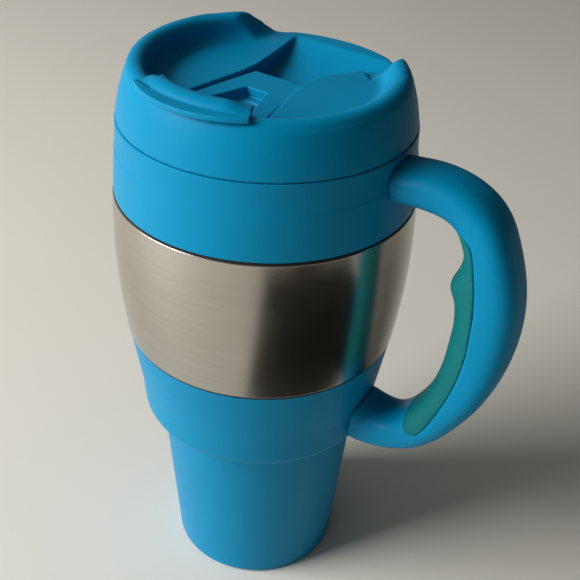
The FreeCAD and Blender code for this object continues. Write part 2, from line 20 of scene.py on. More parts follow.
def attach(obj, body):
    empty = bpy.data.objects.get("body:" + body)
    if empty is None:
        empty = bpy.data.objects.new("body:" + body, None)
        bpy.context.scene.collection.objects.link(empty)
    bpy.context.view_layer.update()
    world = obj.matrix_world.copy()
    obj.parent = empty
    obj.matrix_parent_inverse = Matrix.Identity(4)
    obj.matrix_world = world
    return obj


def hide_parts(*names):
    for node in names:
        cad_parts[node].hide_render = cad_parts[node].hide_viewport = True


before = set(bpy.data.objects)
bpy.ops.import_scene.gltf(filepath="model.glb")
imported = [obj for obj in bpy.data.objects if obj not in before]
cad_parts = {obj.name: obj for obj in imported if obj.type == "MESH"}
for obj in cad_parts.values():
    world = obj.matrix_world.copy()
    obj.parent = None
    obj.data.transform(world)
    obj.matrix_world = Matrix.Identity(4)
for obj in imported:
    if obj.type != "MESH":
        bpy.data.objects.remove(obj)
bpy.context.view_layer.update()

logging.basicConfig(level=logging.INFO, format="%(name)s: %(message)s")
log = logging.getLogger("mug")

MM = 0.001
# Points nearer than this, in metres, are one.
TOUCH = 1e-6
# How far a smoothing step moves each point towards the middle of its neighbours.
SMOOTHING = 0.5
Colour = tuple[float, float, float]
Spots = tuple[float, float, float]
Socket = bpy.types.NodeSocket
# Numbers of the colour sockets on a Mix node, whose names it uses for other types too.
MIX_FIRST, MIX_SECOND, MIX_RESULT = 6, 7, 2


# ---------------------------------------------------------------- node trees

class Graph:
    """A thin helper that adds and links shader nodes."""

    def __init__(self, name: str) -> None:
        """Starts an empty material.

        Args:
            name: Name of the material.
        """
        self.material = bpy.data.materials.new(name)
        self.material.use_nodes = True
        self.tree = self.material.node_tree
        self.tree.nodes.clear()
        self.output = self.add("ShaderNodeOutputMaterial")
        self.shader = self.add("ShaderNodeBsdfPrincipled")
        self.link(self.shader.outputs["BSDF"], self.output.inputs["Surface"])
        self.place = self.add("ShaderNodeTexCoord").outputs["Object"]

    def add(self, kind: str, **values: object) -> bpy.types.Node:
        """Adds a node and sets its properties.

        Args:
            kind: Type name of the node.
            **values: Properties of the node by name.

        Returns:
            The new node.
        """
        node = self.tree.nodes.new(kind)
        for key, value in values.items():
            setattr(node, key, value)
        return node

    def link(self, source: Socket, target: Socket) -> None:
        """Links one socket to another."""
        self.tree.links.new(source, target)

    def stretched(self, scale: Spots) -> Socket:
        """Gives object coordinates multiplied axis by axis.

        Args:
            scale: Factors along X, Y and Z.

        Returns:
            The vector socket.
        """
        mapping = self.add("ShaderNodeMapping")
        mapping.inputs["Scale"].default_value = scale
        self.link(self.place, mapping.inputs["Vector"])
        return mapping.outputs["Vector"]

    def noise(self, scale: Spots | float, detail: float = 3.0, rough: float = 0.55) -> Socket:
        """Adds a noise pattern on object coordinates.

        Args:
            scale: Spots for each metre, or one figure for each axis.
            detail: Octaves of the noise.
            rough: Weight of the finer octaves.

        Returns:
            The pattern's value socket.
        """
        each = scale if isinstance(scale, tuple) else (scale,) * 3
        node = self.add("ShaderNodeTexNoise")
        node.inputs["Scale"].default_value = 1.0
        node.inputs["Detail"].default_value = detail
        node.inputs["Roughness"].default_value = rough
        self.link(self.stretched(each), node.inputs["Vector"])
        return node.outputs["Fac"]

    def spread(self, value: Socket, low: float, high: float,
               start: float = 0.3, end: float = 0.7) -> Socket:
        """Maps a pattern's range to another range.

        Args:
            value: The pattern.
            low: Result at start.
            high: Result at end.
            start: Pattern value that gives low.
            end: Pattern value that gives high.

        Returns:
            The mapped value socket.
        """
        node = self.add("ShaderNodeMapRange")
        for key, number in (("From Min", start), ("From Max", end), ("To Min", low),
                            ("To Max", high)):
            node.inputs[key].default_value = number
        self.link(value, node.inputs["Value"])
        return node.outputs["Result"]

    def mix(self, factor: Socket, first: Colour, second: Colour) -> Socket:
        """Blends two colours by a pattern.

        Args:
            factor: Pattern from 0 to 1.
            first: Colour at 0.
            second: Colour at 1.

        Returns:
            The colour socket.
        """
        node = self.add("ShaderNodeMix", data_type="RGBA")
        node.inputs[MIX_FIRST].default_value = (*first, 1.0)
        node.inputs[MIX_SECOND].default_value = (*second, 1.0)
        self.link(factor, node.inputs["Factor"])
        return node.outputs[MIX_RESULT]

    def bump(self, height: Socket, depth: float, strength: float = 1.0,
             below: Socket | None = None) -> Socket:
        """Adds a bump.

        Args:
            height: Pattern of the relief.
            depth: Height of the relief in metres.
            strength: How much of it is used.
            below: Normal of a bump that this one adds to.

        Returns:
            The normal socket.
        """
        node = self.add("ShaderNodeBump")
        node.inputs["Distance"].default_value = depth
        node.inputs["Strength"].default_value = strength
        self.link(height, node.inputs["Height"])
        if below is not None:
            self.link(below, node.inputs["Normal"])
        return node.outputs["Normal"]

    def set(self, **values: object) -> None:
        """Sets constants on the shader, with underscores for blanks in socket names."""
        for key, value in values.items():
            self.shader.inputs[key.replace("_", " ")].default_value = value

    def feed(self, name: str, socket: Socket) -> None:
        """Links a pattern to one of the shader's sockets."""
        self.link(socket, self.shader.inputs[name])


@dataclass(frozen=True)
class MouldedPlastic:
    """Satin plastic from a textured mould, with handling marks."""

    name: str
    deep: Colour
    pale: Colour
    gloss: tuple[float, float] = (0.36, 0.46)
    grain: float = 1400.0
    grain_depth: float = 0.000018
    shine: float = 0.12
    refraction: float = 1.48
    clouds: float = 22.0
    marks: Spots = (90.0, 90.0, 340.0)
    waves: float = 60.0
    wave_depth: float = 0.00006

    def build(self) -> bpy.types.Material:
        """Makes the material.

        Returns:
            A satin material with tone, gloss and relief from noise.
        """
        g = Graph(self.name)
        tone = g.spread(g.noise(self.clouds, detail=4.0), 0.0, 1.0)
        g.feed("Base Color", g.mix(tone, self.deep, self.pale))
        marks = g.noise(self.marks, detail=6.0, rough=0.7)
        g.feed("Roughness", g.spread(marks, *self.gloss))
        wave = g.bump(g.noise(self.waves, detail=2.0), self.wave_depth, strength=0.5)
        grain = g.noise(self.grain, detail=2.0)
        g.feed("Normal", g.bump(grain, self.grain_depth, strength=0.6, below=wave))
        g.set(Specular_IOR_Level=self.shine, IOR=self.refraction)
        return g.material


@dataclass(frozen=True)
class BrushedSteel:
    """Stainless steel brushed round the mug, with fine scuffs."""

    name: str
    bright: Colour = (0.475, 0.45, 0.41)
    dull: Colour = (0.435, 0.41, 0.37)
    gloss: tuple[float, float] = (0.17, 0.26)
    lines: float = 5200.0
    along: float = 14.0
    line_depth: float = 0.000006
    bands: Spots = (30.0, 30.0, 700.0)
    clouds: float = 26.0
    waves: float = 45.0
    wave_depth: float = 0.00006
    scuffs: Spots = (150.0, 150.0, 900.0)
    scuff_share: tuple[float, float] = (0.62, 0.72)
    scuff_depth: float = 0.000004
    stretch: float = 0.35

    def build(self) -> bpy.types.Material:
        """Makes the material.

        Returns:
            A metal whose brushing runs round the Z axis.
        """
        g = Graph(self.name)
        brush = g.noise((self.along, self.along, self.lines), detail=4.0, rough=0.6)
        broad = g.noise(self.bands, detail=3.0)
        cloud = g.noise(self.clouds, detail=5.0, rough=0.6)
        g.feed("Base Color", g.mix(g.spread(broad, 0.0, 1.0), self.dull, self.bright))
        g.feed("Roughness", g.spread(cloud, *self.gloss))
        scuffs = g.spread(g.noise(self.scuffs, detail=2.0), 0.0, 1.0, *self.scuff_share)
        wave = g.bump(g.noise(self.waves, detail=2.0), self.wave_depth, strength=0.35)
        relief = g.bump(brush, self.line_depth, strength=0.25, below=wave)
        g.feed("Normal", g.bump(scuffs, self.scuff_depth, strength=0.3, below=relief))
        tangent = g.add("ShaderNodeTangent", direction_type="RADIAL", axis="Z")
        g.feed("Tangent", tangent.outputs["Tangent"])
        g.set(Metallic=1.0, Anisotropic=self.stretch)
        return g.material


@dataclass(frozen=True)
class SoftRubber:
    """Matte rubber or silicone with a fine skin."""

    name: str
    deep: Colour
    pale: Colour
    gloss: tuple[float, float] = (0.55, 0.72)
    grain: float = 900.0
    grain_depth: float = 0.00004
    clouds: float = 35.0
    marks: float = 160.0
    shine: float = 0.25
    through: float = 0.0
    through_depth: float = 0.002

    def build(self) -> bpy.types.Material:
        """Makes the material.

        Returns:
            A matte material with a soft sheen.
        """
        g = Graph(self.name)
        tone = g.spread(g.noise(self.clouds, detail=4.0), 0.0, 1.0)
        g.feed("Base Color", g.mix(tone, self.deep, self.pale))
        g.feed("Roughness", g.spread(g.noise(self.marks, detail=5.0), *self.gloss))
        g.feed("Normal", g.bump(g.noise(self.grain, detail=3.0), self.grain_depth, strength=0.6))
        g.set(Specular_IOR_Level=self.shine, Subsurface_Weight=self.through,
              Subsurface_Scale=self.through_depth)
        return g.material


class Finish(Enum):
    """The finishes of the mug."""

    BLUE = MouldedPlastic("blue_plastic", (0.0, 0.245, 0.470), (0.0, 0.265, 0.505))
    LINER = MouldedPlastic("liner_plastic", (0.020, 0.020, 0.022), (0.035, 0.035, 0.037),
                           gloss=(0.45, 0.6))
    FOAM = MouldedPlastic("foam", (0.62, 0.55, 0.36), (0.74, 0.67, 0.46), gloss=(0.8, 0.95),
                          grain=500.0, grain_depth=0.0002)
    STEEL = BrushedSteel("steel")
    SCREW = BrushedSteel("screw_steel", (0.60, 0.60, 0.60), (0.45, 0.45, 0.45),
                         gloss=(0.3, 0.4), lines=2500.0)
    GRIP = SoftRubber("grip_rubber", (0.0, 0.165, 0.180), (0.0, 0.195, 0.210))
    SEAL = SoftRubber("seal_rubber", (0.008, 0.008, 0.008), (0.016, 0.016, 0.016))
    SILICONE = SoftRubber("silicone", (0.50, 0.54, 0.55), (0.62, 0.66, 0.66),
                          gloss=(0.4, 0.5), through=0.2)

    @property
    def slot(self) -> str:
        """Name of the record's material slot."""
        return self.value.name


class Paintbox:
    """Makes each finish once and puts it on objects."""

    def __init__(self) -> None:
        """Starts with no material made."""
        self.made: dict[Finish, bpy.types.Material] = {}

    def material(self, finish: Finish) -> bpy.types.Material:
        """Gives a finish's material, made at its first use.

        Args:
            finish: The finish that is wanted.

        Returns:
            Its material, the same one each time.
        """
        if finish not in self.made:
            self.made[finish] = finish.value.build()
        return self.made[finish]

    def dress(self, obj: bpy.types.Object, finish: Finish) -> None:
        """Puts one finish on an object.

        Args:
            obj: The mesh object.
            finish: The finish that it gets.
        """
        obj.data.materials.clear()
        obj.data.materials.append(self.material(finish))

    def dress_nodes(self, finishes: dict[str, Finish]) -> None:
        """Puts finishes on CAD nodes, given as node name to finish."""
        for node, finish in finishes.items():
            self.dress(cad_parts[node], finish)


# ---------------------------------------------------------------- shapes

def corner_arc(a: Vector, b: Vector, c: Vector, radius: float, steps: int) -> list[Vector]:
    """Points of the arc that rounds a corner.

    Args:
        a: Point before the corner.
        b: The corner.
        c: Point after the corner.
        radius: Radius of the rounding.
        steps: Number of stretches that the arc is cut into.

    Returns:
        Points from the first tangent point to the second.
    """
    u, w = (a - b).normalized(), (c - b).normalized()
    half = u.angle(w) / 2
    start, end = b + u * (radius / math.tan(half)), b + w * (radius / math.tan(half))
    centre = b + (u + w).normalized() * (radius / math.sin(half))
    p, q = start - centre, end - centre
    turn = p.angle(q)
    return [centre + (p * math.sin((1 - t) * turn) + q * math.sin(t * turn)) / math.sin(turn)
            for t in (i / steps for i in range(steps + 1))]


def rounded_path(corners: list[tuple[float, float, float]], steps: int = 6) -> list[Vector]:
    """A path through corners, each with its own rounding.

    Args:
        corners: (out, up, radius) of each corner; a radius of 0 leaves it sharp.
        steps: Stretches for each rounding.

    Returns:
        The path's points as (out, 0, up).
    """
    points = [Vector((r, 0, z)) for r, z, _ in corners]
    path = [points[0]]
    for i in range(1, len(points) - 1):
        radius = corners[i][2]
        path += (corner_arc(*points[i - 1:i + 2], radius, steps) if radius else [points[i]])
    return path + [points[-1]]


def smooth_line(knots: list[tuple[float, float]], count: int) -> list[tuple[float, float]]:
    """A natural cubic through knots, with radius as a function of height.

    Args:
        knots: (radius, height) with rising heights.
        count: Points wanted.

    Returns:
        (radius, height) points, ends included.
    """
    r, z = np.array(knots).T
    n, h = len(z), np.diff(z)
    system, right = np.eye(n), np.zeros(n)
    for i in range(1, n - 1):
        system[i, i - 1:i + 2] = h[i - 1], 2 * (h[i - 1] + h[i]), h[i]
        right[i] = 6 * ((r[i + 1] - r[i]) / h[i] - (r[i] - r[i - 1]) / h[i - 1])
    bend = np.linalg.solve(system, right)
    result = []
    for at in np.linspace(z[0], z[-1], count):
        k = min(max(int(np.searchsorted(z, at)) - 1, 0), n - 2)
        a, b = (z[k + 1] - at) / h[k], (at - z[k]) / h[k]
        out = a * r[k] + b * r[k + 1] + h[k] ** 2 / 6 * (
            (a ** 3 - a) * bend[k] + (b ** 3 - b) * bend[k + 1])
        result.append((float(out), float(at)))
    return result


def mesh_object(name: str, mesh: bpy.types.Mesh) -> bpy.types.Object:
    """Puts a mesh into the scene.

    Args:
        name: Name of the object.
        mesh: Its mesh.

    Returns:
        The new object, at the origin.
    """
    obj = bpy.data.objects.new(name, mesh)
    bpy.context.scene.collection.objects.link(obj)
    return obj


def close_and_face_out(mesh: bpy.types.Mesh) -> None:
    """Merges a closed mesh's doubles and turns its faces outwards.

    Args:
        mesh: The mesh, changed in place.
    """
    bm = bmesh.new()
    bm.from_mesh(mesh)
    bmesh.ops.remove_doubles(bm, verts=bm.verts, dist=TOUCH)
    bmesh.ops.recalc_face_normals(bm, faces=bm.faces)
    if bm.calc_volume(signed=True) < 0:
        bmesh.ops.reverse_faces(bm, faces=bm.faces)
    bm.to_mesh(mesh)
    bm.free()


def frozen(obj: bpy.types.Object) -> bpy.types.Object:
    """Turns an object's evaluated shape into its plain mesh and clears its modifiers.

    Args:
        obj: The object, changed in place.

    Returns:
        The same object.
    """
    graph = bpy.context.evaluated_depsgraph_get()
    mesh = bpy.data.meshes.new_from_object(obj.evaluated_get(graph))
    obj.modifiers.clear()
    obj.data = mesh
    return obj


class SpinTree:
    """Geometry Nodes tree that spins a profile round the Z axis."""

    def __init__(self) -> None:
        """Builds the tree with a profile, a segment count and a material as its inputs."""
        self.tree = bpy.data.node_groups.new("spin_profile", "GeometryNodeTree")
        face = self.tree.interface
        face.new_socket("Geometry", in_out="INPUT", socket_type="NodeSocketGeometry")
        self.segments = face.new_socket("Segments", in_out="INPUT",
                                        socket_type="NodeSocketInt").identifier
        self.finish = face.new_socket("Finish", in_out="INPUT",
                                      socket_type="NodeSocketMaterial").identifier
        face.new_socket("Geometry", in_out="OUTPUT", socket_type="NodeSocketGeometry")
        self.wire_up()

    def node(self, kind: str, links: dict[str | int, object] | None = None,
             **values: object) -> bpy.types.Node:
        """Adds a node, sets properties and fills inputs with links or constants.

        Args:
            kind: Type name of the node.
            links: Input name or number to a source socket or a constant.
            **values: Properties of the node.

        Returns:
            The new node.
        """
        made = self.tree.nodes.new(kind)
        for key, value in values.items():
            setattr(made, key, value)
        for key, source in (links or {}).items():
            if isinstance(source, Socket):
                self.tree.links.new(source, made.inputs[key])
            else:
                made.inputs[key].default_value = source
        return made

    def maths(self, operation: str, first: object, second: object = 0.0) -> Socket:
        """One arithmetic step on two sockets or numbers."""
        return self.node("ShaderNodeMath", {0: first, 1: second}, operation=operation).outputs[0]

    def wire_up(self) -> None:
        """Links a grid whose columns are copies of the profile, bent round into a ring."""
        entry = self.node("NodeGroupInput")
        profile, segments = entry.outputs["Geometry"], entry.outputs["Segments"]
        size = self.node("GeometryNodeAttributeDomainSize", {0: profile}, component="MESH")
        count = size.outputs["Point Count"]
        columns = self.maths("ADD", segments, 1.0)
        grid = self.node("GeometryNodeMeshGrid", {"Vertices X": columns, "Vertices Y": count})
        index = self.node("GeometryNodeInputIndex").outputs[0]
        row = self.maths("MODULO", index, count)
        column = self.maths("FLOOR", self.maths("DIVIDE", index, count))
        angle = self.maths("DIVIDE", self.maths("MULTIPLY", column, 2 * math.pi), segments)
        place = self.node("GeometryNodeInputPosition").outputs[0]
        pick = self.node("GeometryNodeSampleIndex", {0: profile, "Index": row},
                         data_type="FLOAT_VECTOR", domain="POINT")
        self.tree.links.new(place, pick.inputs["Value"])
        spun = self.node("ShaderNodeVectorRotate", {"Vector": pick.outputs[0], "Angle": angle},
                         rotation_type="Z_AXIS")
        moved = self.node("GeometryNodeSetPosition",
                          {"Geometry": grid.outputs["Mesh"], "Position": spun.outputs[0]})
        merged = self.node("GeometryNodeMergeByDistance",
                           {"Geometry": moved.outputs[0], "Distance": TOUCH})
        real = self.node("GeometryNodeRealizeInstances", {0: merged.outputs[0]})
        painted = self.node("GeometryNodeSetMaterial", {"Geometry": real.outputs[0],
                                                        "Material": entry.outputs["Finish"]})
        leave = self.node("NodeGroupOutput")
        self.tree.links.new(painted.outputs[0], leave.inputs[0])

    def spin(self, name: str, profile: list[Vector], material: bpy.types.Material,
             segments: int = 240) -> bpy.types.Object:
        """Makes one ring-shaped piece.

        Args:
            name: Name of the piece.
            profile: Closed outline as (out, 0, up) points, first point not repeated.
            material: Its finish.
            segments: Steps round the axis.

        Returns:
            The finished piece, a plain closed mesh.
        """
        mesh = bpy.data.meshes.new(name)
        loop = profile + [profile[0]]
        mesh.from_pydata(loop, [(i, i + 1) for i in range(len(loop) - 1)], [])
        obj = mesh_object(name, mesh)
        modifier = obj.modifiers.new("spin", "NODES")
        modifier.node_group = self.tree
        modifier[self.segments] = segments
        modifier[self.finish] = material
        frozen(obj)
        close_and_face_out(obj.data)
        obj.data.shade_smooth()
        return obj


@dataclass
class Softener:
    """Makes a moulded piece from a CAD node: the same shape with its edges rounded."""

    voxel: float = 0.5 * MM
    passes: int = 4
    limit: int = 180_000
    outer_only: bool = False
    round_more: Callable[[Vector], float] | None = None
    more_passes: int = 60

    def copy(self, name: str, node: str) -> bpy.types.Object:
        """Copies, remeshes and smooths a node.

        Args:
            name: Name of the new piece.
            node: Name of the CAD node.

        Returns:
            The new piece, a plain closed mesh.
        """
        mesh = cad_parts[node].data.copy()
        mesh.name = name
        obj = mesh_object(name, mesh)
        close_and_face_out(mesh)
        if self.outer_only:
            self.drop_cavities(mesh)
        remesh = obj.modifiers.new("remesh", "REMESH")
        remesh.mode = "VOXEL"
        remesh.voxel_size = self.voxel
        smooth = obj.modifiers.new("smooth", "SMOOTH")
        smooth.factor, smooth.iterations = SMOOTHING, self.passes
        frozen(obj)
        if self.round_more is not None:
            self.extra_rounding(obj)
        triangles = sum(len(p.vertices) - 2 for p in obj.data.polygons)
        log.info("%s: %d triangles", name, triangles)
        if triangles > self.limit:
            thin = obj.modifiers.new("thin", "DECIMATE")
            thin.ratio = self.limit / triangles
            frozen(obj)
        obj.data.shade_smooth()
        return obj

    def extra_rounding(self, obj: bpy.types.Object) -> None:
        """Rounds the places that round_more picks.

        Args:
            obj: The remeshed piece.
        """
        group = obj.vertex_groups.new(name="round")
        for vert in obj.data.vertices:
            weight = self.round_more(vert.co)
            if weight > 0:
                group.add([vert.index], weight, "REPLACE")
        smooth = obj.modifiers.new("round", "SMOOTH")
        smooth.factor, smooth.iterations = SMOOTHING, self.more_passes
        smooth.vertex_group = group.name
        frozen(obj)

    @staticmethod
    def drop_cavities(mesh: bpy.types.Mesh) -> None:
        """Keeps only the largest connected surface of a mesh.

        Args:
            mesh: The mesh, changed in place.
        """
        bm = bmesh.new()
        bm.from_mesh(mesh)
        left, shells = set(bm.verts), []
        while left:
            seed = left.pop()
            shell, edge = {seed}, [seed]
            while edge:
                vert = edge.pop()
                for link in vert.link_edges:
                    other = link.other_vert(vert)
                    if other in left:
                        left.discard(other)
                        shell.add(other)
                        edge.append(other)
            shells.append(shell)
        shells.sort(key=lambda s: max(v.co.x for v in s) - min(v.co.x for v in s))
        waste = [v for s in shells[:-1] for v in s]
        bmesh.ops.delete(bm, geom=waste, context="VERTS")
        bm.to_mesh(mesh)
        bm.free()


# ---------------------------------------------------------------- the mug

@dataclass
class MugBody:
    """Base, steel band and collar, the shells round the foam.

    Sizes are in mm.  A corner of the foot is (out, up, rounding) and a knot of the belly is
    (out, up).  The inner heights are those of the base's inside at its shoulder, at the top of
    the taper and in the foot.
    """

    spinner: SpinTree
    paint: Paintbox
    foot: tuple[tuple[float, float, float], ...] = (
        (31.0, 4.0, 0), (31.0, 0.0, 0.3), (34.9, 0.0, 0.9), (36.4, 1.4, 0.7),
        (42.3, 76.0, 1.6), (49.7, 83.4, 5.0))
    foot_steps: int = 8
    inner_heights: tuple[float, float, float] = (85.6, 77.0, 4.0)
    belly: list[tuple[float, float]] = field(default_factory=lambda: [
        (50.7, 96.3), (54.8, 122.4), (57.4, 146.0), (58.1, 167.0), (57.3, 188.0),
        (55.4, 213.6)])
    belly_points: int = 240
    base_top: float = 122.4
    band_top: float = 184.9
    brim: float = 213.3
    seal: float = 0.8
    proud: float = 0.25
    edge: float = 0.35
    edge_steps: int = 4
    inner_every: int = 12
    base_thick: float = 2.3
    band_thick: float = 0.8
    collar_thick: float = 6.6
    seam_fill: float = 0.12
    crease: float = 202.0
    crease_step: float = 0.22
    crease_rise: float = 0.6
    crease_fade: float = 6.0

    def belly_between(self, low: float, high: float, out: float = 0.0) -> list[Vector]:
        """The barrel's outline between two heights.

        Args:
            low: Lower height in mm.
            high: Upper height in mm.
            out: How far it is moved outwards.

        Returns:
            Points as (out, 0, up) in mm.
        """
        line = smooth_line(self.belly, self.belly_points)
        inside = [(r, z) for r, z in line if low < z < high]
        ends = [(float(np.interp(z, [p[1] for p in line], [p[0] for p in line])), z)
                for z in (low, high)]
        return [Vector((r + out, 0, z)) for r, z in [ends[0]] + inside + [ends[1]]]

    def wall(self, outline: list[Vector], thick: float) -> list[Vector]:
        """Closes an outline into a wall with rounded upper and lower outer edges.

        Args:
            outline: The wall's outer side from low to high, in mm.
            thick: Thickness of the wall in mm.

        Returns:
            Closed outline in mm, first point not repeated.
        """
        low, high, inwards = outline[0], outline[-1], Vector((thick, 0, 0))
        e = self.edge
        top = corner_arc(outline[-3], high, high - inwards, e, self.edge_steps)
        bottom = corner_arc(low - inwards, low, outline[2], e, self.edge_steps)
        middle = [p for p in outline if low.z + e < p.z < high.z - e]
        inner = [Vector((p.x - thick, 0, p.z)) for p in reversed(outline[::self.inner_every])]
        return bottom + middle + top + [high - inwards] + inner[1:-1] + [low - inwards]

    def stepped(self, outline: list[Vector]) -> list[Vector]:
        """Sets the collar in a little above its crease, where the moulding steps.

        Args:
            outline: The collar's outer side from low to high, in mm.

        Returns:
            The outline with its step, which fades out at the brim.
        """
        steps = []
        for point in outline:
            rise = min(max((point.z - self.crease) / self.crease_rise, 0.0), 1.0)
            fade = min(max((self.brim - point.z) / self.crease_fade, 0.0), 1.0)
            steps.append(point - Vector((self.crease_step * rise * fade, 0, 0)))
        return steps

    def base_profile(self) -> list[Vector]:
        """Outline of the base from the recess under it up to its seam.

        Returns:
            Closed outline in mm, first point not repeated.
        """
        start, thick = self.belly[0], self.base_thick
        low = rounded_path([*self.foot, (*start, 0)], self.foot_steps)
        upper = self.belly_between(start[1], self.base_top)
        high = upper[-1]
        top = corner_arc(upper[-3], high, high - Vector((thick, 0, 0)), self.edge,
                         self.edge_steps)
        middle = [p for p in upper[1:] if p.z < high.z - self.edge]
        foot_r, taper_r, shoulder_r = (corner[0] for corner in self.foot[-3:])
        inner = zip((start[0], shoulder_r, taper_r, foot_r), (start[1], *self.inner_heights))
        return low + middle + top + [high - Vector((thick, 0, 0))] + [
            Vector((r - thick, 0, z)) for r, z in inner]

    def build(self) -> list[bpy.types.Object]:
        """Makes the three shells and dresses what lies inside and under them.

        Returns:
            The three shells.
        """
        band = self.belly_between(self.base_top + self.seal, self.band_top - self.seal, self.proud)
        collar = self.stepped(self.belly_between(self.band_top, self.brim + self.seam_fill))
        shells = {
            "base_shell": (self.base_profile(), Finish.BLUE, "base_cup"),
            "band_shell": (self.wall(band, self.band_thick), Finish.STEEL, "steel_band"),
            "collar_shell": (self.wall(collar, self.collar_thick), Finish.BLUE, "collar"),
        }
        made = []
        for name, (profile, finish, node) in shells.items():
            piece = self.spinner.spin(name, [p * MM for p in profile], self.paint.material(finish))
            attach(piece, "mug")
            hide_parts(node)
            made.append(piece)
        self.paint.dress_nodes({
            "base_cap": Finish.BLUE, "fill_plug": Finish.BLUE, "foam_insulation": Finish.FOAM,
            "inner_liner": Finish.LINER, "band_seal_lower": Finish.SEAL,
            "band_seal_upper": Finish.SEAL, "handle_screws": Finish.SCREW})
        return made


@dataclass
class Moulding:
    """A visible moulded piece made from its CAD node with rounded edges."""

    name: str
    node: str
    body: str
    finish: Finish
    softener: Softener

    def build(self, paint: Paintbox) -> bpy.types.Object:
        """Makes, dresses and attaches the piece.

        Args:
            paint: Where the finish comes from.

        Returns:
            The finished piece.
        """
        piece = self.softener.copy(self.name, self.node)
        paint.dress(piece, self.finish)
        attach(piece, self.body)
        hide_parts(self.node)
        return piece


def ease(value: float, start: float, end: float) -> float:
    """Climbs smoothly from 0 at start to 1 at end.

    Args:
        value: Where on the way it is.
        start: Value up to which the result is 0.
        end: Value from which it is 1.

    Returns:
        The climb, from 0 to 1.
    """
    t = min(max((value - start) / (end - start), 0.0), 1.0)
    return t * t * (3 - 2 * t)


@dataclass
class Handle:
    """Hollow side handle with a soft grip on its inner side."""

    paint: Paintbox
    swells: tuple[tuple[float, float, float], ...] = (
        (171.5, 4.6, -2.3), (184.5, 5.0, 1.1), (156.0, 8.0, 0.7))
    facing: tuple[float, float] = (0.15, 0.8)
    shell_voxel: float = 0.6 * MM
    grip_voxel: float = 0.5 * MM

    def shape_grip(self, grip: bpy.types.Object) -> None:
        """Gives the grip's inner face its finger rest and the hollows beside it.

        Each of the swells is a height, a half width and a push, all in mm.  A push below 0
        stands out towards the mug.

        Args:
            grip: The grip, changed in place.
        """
        verts = grip.data.vertices
        for vert, normal in zip(verts, [v.normal.copy() for v in verts]):
            inward = ease(-normal.x, *self.facing)
            up = vert.co.z / MM
            push = sum(size * math.exp(-((up - at) / wide) ** 2) for at, wide, size in self.swells)
            vert.co.x += inward * push * MM

    def build(self) -> list[bpy.types.Object]:
        """Makes the shell and the grip.

        Returns:
            The two pieces.
        """
        shell = Moulding("handle_arm", "handle_shell", "mug", Finish.BLUE, Softener(
            self.shell_voxel, passes=4, outer_only=True)).build(self.paint)
        grip = Moulding("grip_pad", "handle_grip", "mug", Finish.GRIP, Softener(
            self.grip_voxel, passes=3)).build(self.paint)
        self.shape_grip(grip)
        return [shell, grip]


@dataclass
class Lid:
    """Screw-on lid with its flap, seals and hinge pin.

    Sizes are in mm and angles in degrees.  A pair says where a change starts and ends: both
    climbs run across the dip at the back, the tab's taper runs round from its middle, and its
    skin runs upwards.
    """

    paint: Paintbox
    turn: float = -4.0
    rim_r: float = 40.5
    deck_z: float = 224.0
    climb_start: tuple[float, float] = (21.0, 26.0)
    climb_end: tuple[float, float] = (42.0, 45.0)
    tab_z: float = 231.0
    tab_r: float = 39.0
    tab_taper: tuple[float, float] = (16.5, 29.5)
    tab_skin: tuple[float, float] = (233.3, 235.8)
    tab_drop: float = 1.7
    shell_voxel: float = 0.55 * MM
    flap_voxel: float = 0.32 * MM

    def at_climb(self, place: Vector) -> float:
        """How much a point of the lid lies where the back dip climbs to the rim.

        Args:
            place: The point in metres.

        Returns:
            1 on the climb, 0 away from it, and between the two at its ends.
        """
        local = Matrix.Rotation(-math.radians(self.turn), 3, "Z") @ (place / MM)
        if local.y < 0 or local.z < self.deck_z or math.hypot(local.x, local.y) < self.rim_r:
            return 0.0
        aside = abs(local.x)
        return ease(aside, *self.climb_start) * (1 - ease(aside, *self.climb_end))

    def taper_tab(self, flap: bpy.types.Object) -> None:
        """Thins the finger tab towards its two ends.

        Args:
            flap: The flap, changed in place.
        """
        for vert in flap.data.vertices:
            x, y, z = vert.co / MM
            if z < self.tab_z or math.hypot(x, y) < self.tab_r:
                continue
            off = abs(math.degrees(math.atan2(y, x)) + 90 - self.turn)
            vert.co.z -= self.tab_drop * ease(off, *self.tab_taper) * ease(z, *self.tab_skin) * MM

    def build(self) -> list[bpy.types.Object]:
        """Makes the lid's top and the flap, and dresses the rest.

        Returns:
            The top and the flap.
        """
        shell = Moulding("lid_top", "lid_shell", "lid", Finish.BLUE, Softener(
            self.shell_voxel, passes=3, round_more=self.at_climb)).build(self.paint)
        flap = Moulding("flap_plate", "flap", "flap", Finish.BLUE, Softener(
            self.flap_voxel, passes=4)).build(self.paint)
        self.taper_tab(flap)
        self.paint.dress_nodes({
            "lid_plug": Finish.BLUE, "lid_gasket": Finish.SILICONE, "hinge_pin": Finish.SCREW,
            "flap_seal": Finish.SILICONE, "vent_pad": Finish.SILICONE})
        return [shell, flap]


# ---------------------------------------------------------------- studio

